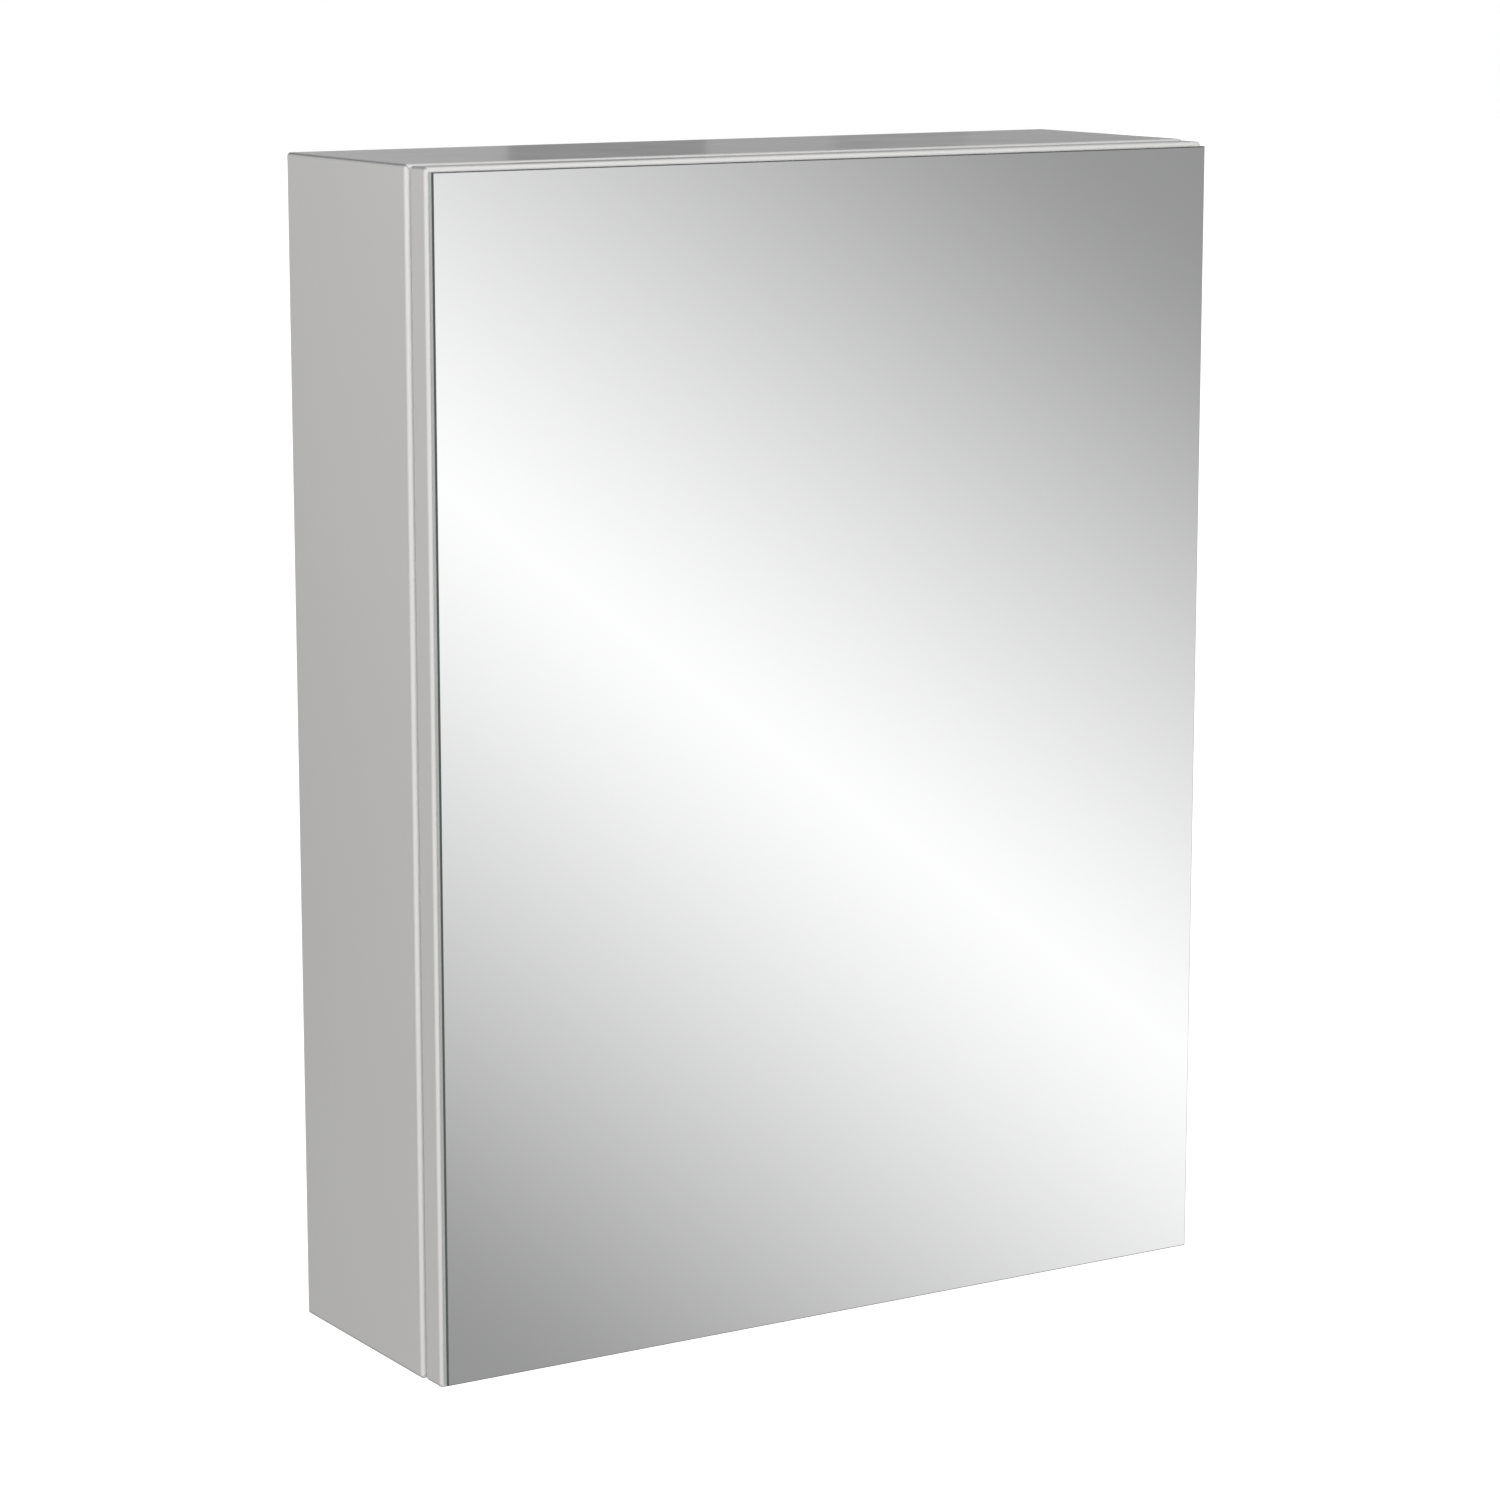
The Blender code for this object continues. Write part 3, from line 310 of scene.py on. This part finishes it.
def backing_paint(name):
    """The grey protective paint on the mirror's back."""
    paint = Paint(name)
    drops = paint.spread(paint.noise(160.0, 4.0), 0.0, 1.0)
    paint.set("Base Color", paint.mix(drops, (0.15, 0.17, 0.19), (0.20, 0.22, 0.24)))
    paint.set("Roughness", paint.spread(drops, 0.45, 0.65, 0.0, 1.0))
    paint.set("Normal", paint.bump(drops, 0.2, 0.00005))
    return paint.material


def shelf_glass(name):
    """Clear float glass, greener where one looks into its edges."""
    paint = Paint(name, transmission_weight=1.0, ior=1.5)
    facing = paint.math("ABSOLUTE", paint.separate(paint.point.outputs["Normal"])["Z"])
    edge = paint.math("LESS_THAN", facing, 0.8)
    paint.set("Base Color", paint.mix(edge, (0.955, 0.985, 0.972), (0.42, 0.74, 0.62)))
    smear = paint.spread(paint.noise(16.0, 4.0), 0.0, 0.03)
    paint.set("Roughness", paint.math("MAXIMUM", smear, paint.math("MULTIPLY", edge, 0.10)))
    return paint.material


def plated(name, dark, light, rough_low, rough_high, grain=(1, 1, 1)):
    """Plated metal with drawn grain and slight tarnish."""
    paint = Paint(name, metallic=1.0)
    tarnish = paint.spread(paint.noise(120.0, 4.0), 0.0, 1.0)
    lines = paint.noise(2200.0, 3.0, 0.6, grain)
    paint.set("Base Color", paint.mix(tarnish, dark, light))
    paint.set("Roughness", paint.spread(lines, rough_low, rough_high))
    paint.set("Normal", paint.bump(lines, 0.08, 0.00002))
    return paint.material


def moulded_plastic(name, colour, rough, grit=1500.0, scatter=0.0):
    """Moulded plastic or rubber with a fine spark-eroded texture."""
    paint = Paint(name, subsurface_weight=scatter)
    shade = tuple(part * 0.94 for part in colour)
    paint.set("Base Color", paint.mix(paint.spread(paint.noise(90.0, 3.0), 0.0, 1.0), shade, colour))
    grain = paint.noise(grit, 3.0)
    paint.set("Roughness", paint.spread(grain, rough - 0.06, rough + 0.06))
    paint.set("Normal", paint.bump(grain, 0.18, 0.00003))
    return paint.material


def foam(name):
    """Grey closed-cell foam tape."""
    paint = Paint(name)
    bubbles = paint.node("ShaderNodeTexVoronoi", {"Vector": paint.place(), "Scale": 1800.0})
    cells = bubbles.outputs["Distance"]
    paint.set("Base Color", paint.mix(cells, (0.40, 0.40, 0.39), (0.62, 0.62, 0.60)))
    paint.set("Roughness", paint.spread(cells, 0.80, 0.95, 0.0, 1.0))
    paint.set("Normal", paint.bump(cells, 0.4, 0.00008))
    return paint.material


def plywood(name):
    """Raw birch plywood."""
    paint = Paint(name)
    grain = paint.noise(240.0, 4.0, 0.6, (1, 0.08, 1))
    tone = paint.spread(grain, 0.0, 1.0)
    paint.set("Base Color", paint.mix(tone, (0.52, 0.36, 0.20), (0.72, 0.56, 0.37)))
    paint.set("Roughness", paint.spread(grain, 0.65, 0.85))
    paint.set("Normal", paint.bump(grain, 0.3, 0.00008))
    return paint.material


def studio_white(name):
    """The floor's plain pale surface."""
    paint = Paint(name, base_color=(0.93, 0.93, 0.93, 1.0), roughness=0.9, emission_color=(1, 1, 1, 1))
    paint.set("Emission Strength", FLOOR_GLOW)
    return paint.material


def dress(names, material):
    """Give CAD nodes a finished material."""
    for name in names:
        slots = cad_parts[name].data.materials
        slots.clear()
        slots.append(material)


def nodes_with(*words):
    return [name for name in sorted(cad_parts) if any(word in name for word in words)]


def mirror_plate():
    """The mirror: a silvered face, a ground arris and edge all round, and a painted back."""
    low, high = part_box("mirror_glass")
    work = bmesh.new()
    size = high - low
    place = Matrix.Translation((low + high) / 2) @ Matrix.Diagonal((*size, 1))
    bmesh.ops.create_cube(work, size=1.0, matrix=place)
    front_edges = [e for e in work.edges if max(v.co.y for v in e.verts) < low.y + size.y / 2]
    bmesh.ops.bevel(
        work, geom=front_edges, offset=ARRIS_WIDTH, segments=ARRIS_STEPS, profile=0.5, affect="EDGES"
    )
    for depth in (DARK_RIM, DARK_RIM + RIM_BLEND):
        whole = [*work.verts, *work.edges, *work.faces]
        cut = (0, low.y + depth, 0)
        bmesh.ops.bisect_plane(work, geom=whole, plane_co=cut, plane_no=(0, 1, 0))
    share = work.verts.layers.float.new("front_share")
    for vert in work.verts:
        vert[share] = 1.0 if vert.co.y < low.y + DARK_RIM + RIM_BLEND / 2 else 0.0
    bmesh.ops.recalc_face_normals(work, faces=work.faces)
    for face in work.faces:
        facing = face.normal.y
        face.material_index = 0 if facing < -0.999 else 2 if facing > 0.999 else 1
    mesh = bpy.data.meshes.new("mirror_plate")
    work.to_mesh(mesh)
    work.free()
    for material in (silver("mirror_silver"), ground_edge("mirror_edge"), backing_paint("mirror_backing")):
        mesh.materials.append(material)
    plate = bpy.data.objects.new("mirror_plate", mesh)
    bpy.context.scene.collection.objects.link(plate)
    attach(plate, "door")
    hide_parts("mirror_glass")


def camera():
    data = bpy.data.cameras.new("camera")
    data.lens = CAMERA_LENS
    data.sensor_width = CAMERA_SENSOR
    data.clip_start = 0.05
    data.clip_end = 200.0
    made = bpy.data.objects.new("camera", data)
    bpy.context.scene.collection.objects.link(made)
    made.location = CAMERA_PLACE
    made.rotation_euler = (math.radians(90 + CAMERA_TILT), 0, math.radians(-CAMERA_TURN_RIGHT))
    bpy.context.scene.camera = made


def soft_box(name, place, target, size, power, colour):
    """A soft light that lights surfaces but shows in no reflection."""
    data = bpy.data.lights.new(name, "AREA")
    data.shape = "RECTANGLE"
    data.size = data.size_y = size
    data.energy = power
    data.color = colour
    made = bpy.data.objects.new(name, data)
    bpy.context.scene.collection.objects.link(made)
    made.location = place
    aim = Vector(target) - Vector(place)
    made.rotation_euler = aim.to_track_quat("-Z", "Y").to_euler()
    made.visible_glossy = False
    made.visible_camera = False


def sky():
    """White to the camera, a soft even light on the boards, and diagonal bands of light in reflections."""
    world = bpy.data.worlds.new("studio")
    world.use_nodes = True
    tree = world.node_tree
    nodes, links = tree.nodes, tree.links
    background = nodes["Background"]
    rays = nodes.new("ShaderNodeLightPath")
    direction = nodes.new("ShaderNodeTexCoord").outputs["Generated"]

    def maths(operation, first, second=0.0):
        made = nodes.new("ShaderNodeMath")
        made.operation = operation
        for socket, value in zip(made.inputs, (first, second)):
            if isinstance(value, bpy.types.NodeSocket):
                links.new(value, socket)
            else:
                socket.default_value = value
        return made.outputs[0]

    turn, rise = math.radians(BAND_AZIMUTH), math.radians(BAND_ELEVATION)
    across = (math.cos(turn) * math.cos(rise), math.sin(turn) * math.cos(rise), math.sin(rise))
    dot = nodes.new("ShaderNodeVectorMath")
    dot.operation = "DOT_PRODUCT"
    links.new(direction, dot.inputs[0])
    dot.inputs[1].default_value = across
    wave = maths("PINGPONG", dot.outputs["Value"], BAND_HALF_PERIOD)
    fall = maths("MULTIPLY", maths("POWER", wave, BAND_CURVE), BAND_FALL)
    shade = maths("SMOOTH_MIN", fall, BAND_DARKEST)
    shade.node.inputs[2].default_value = BAND_SMOOTHING
    band = maths("POWER", maths("SUBTRACT", 1.0, shade), DISPLAY_GAMMA)
    height = nodes.new("ShaderNodeSeparateXYZ")
    links.new(direction, height.inputs[0])
    behind = maths("MULTIPLY", maths("MAXIMUM", height.outputs["Y"], 0.0), REAR_DIM)
    band = maths("MULTIPLY", band, maths("SUBTRACT", 1.0, maths("MINIMUM", behind, REAR_DIM_MOST)))
    even = maths("MULTIPLY_ADD", height.outputs["Z"], ROOM_LIGHT_RISE)
    even.node.inputs[2].default_value = ROOM_LIGHT
    seen = maths("MULTIPLY", rays.outputs["Is Glossy Ray"], band)
    rest = maths("MULTIPLY", maths("SUBTRACT", 1.0, rays.outputs["Is Glossy Ray"]), even)
    inside = maths("ADD", seen, rest)
    hidden = maths("SUBTRACT", 1.0, rays.outputs["Is Camera Ray"])
    strength = maths("ADD", maths("MULTIPLY", hidden, inside), rays.outputs["Is Camera Ray"])
    links.new(strength, background.inputs["Strength"])
    background.inputs["Color"].default_value = (1, 1, 1, 1)
    bpy.context.scene.world = world


def floor():
    mesh = bpy.data.meshes.new("studio_floor")
    half = FLOOR_SIZE / 2
    height = cad_low.z - FLOOR_BELOW
    corners = [(-half, -half, height), (half, -half, height), (half, half, height), (-half, half, height)]
    mesh.from_pydata(corners, [], [(0, 1, 2, 3)])
    mesh.materials.append(studio_white("studio_floor"))
    made = bpy.data.objects.new("studio_floor", mesh)
    bpy.context.scene.collection.objects.link(made)
    made.visible_glossy = False
    made.visible_diffuse = False


def dark_card(low_x, high_x, glow):
    """A dark upright board behind the cabinet, which only glancing reflections in its top show."""
    mesh = bpy.data.meshes.new("studio_card")
    outline = ((low_x, 0), (high_x, 0), (high_x, CARD_HEIGHT), (low_x, CARD_HEIGHT))
    corners = [(x, CARD_BEHIND, z) for x, z in outline]
    mesh.from_pydata(corners, [], [(0, 1, 2, 3)])
    paint = Paint("studio_card", base_color=(0.02, 0.02, 0.02, 1), emission_color=(1.0, 0.98, 1.0, 1))
    paint.set("Emission Strength", glow)
    mesh.materials.append(paint.material)
    made = bpy.data.objects.new("studio_card", mesh)
    bpy.context.scene.collection.objects.link(made)
    made.visible_camera = False
    made.visible_diffuse = False
    made.visible_shadow = False
    made.visible_transmission = False


def finishes():
    """Every CAD node's material."""
    carcass = ("left_side_panel", "right_side_panel", "top_panel", "bottom_panel")
    dress(carcass, white_foil("carcass_foil", with_core=True))
    dress(("hanging_rail", "door_panel"), white_foil("board_foil"))
    dress(("back_panel",), hardboard("white_hardboard"))
    dress(nodes_with("glass_shelf"), shelf_glass("shelf_glass"))
    nickel = plated("nickel_plate", (0.68, 0.66, 0.62), (0.75, 0.74, 0.71), 0.18, 0.28, (1, 1, 0.1))
    dress(nodes_with("hinge_cup", "hinge_arm"), nickel)
    dress(nodes_with("peg"), plated("peg_plate", (0.62, 0.61, 0.59), (0.76, 0.75, 0.73), 0.14, 0.24))
    zinc = plated("zinc_plate", (0.58, 0.59, 0.61), (0.68, 0.69, 0.70), 0.24, 0.36)
    dress(nodes_with("screw", "washer", "strike_plate"), zinc)
    dress(nodes_with("hinge_pin"), plated("pin_steel", (0.42, 0.42, 0.43), (0.56, 0.56, 0.57), 0.20, 0.32))
    dress(("catch_body",), moulded_plastic("catch_plastic", (0.78, 0.78, 0.76), 0.36))
    dress(("catch_magnet",), moulded_plastic("magnet", (0.05, 0.05, 0.055), 0.45, 2600.0))
    dress(nodes_with("buffer"), moulded_plastic("soft_buffer", (0.66, 0.67, 0.66), 0.48, 900.0, 0.3))
    dress(nodes_with("tape"), foam("foam_tape"))
    dress(nodes_with("spline"), plywood("birch_ply"))


camera()
sky()
floor()
for box in SOFT_BOXES:
    soft_box(*box)
for card in DARK_CARDS:
    dark_card(*card)
finishes()
mirror_plate()

bpy.context.scene.view_settings.view_transform = "Standard"
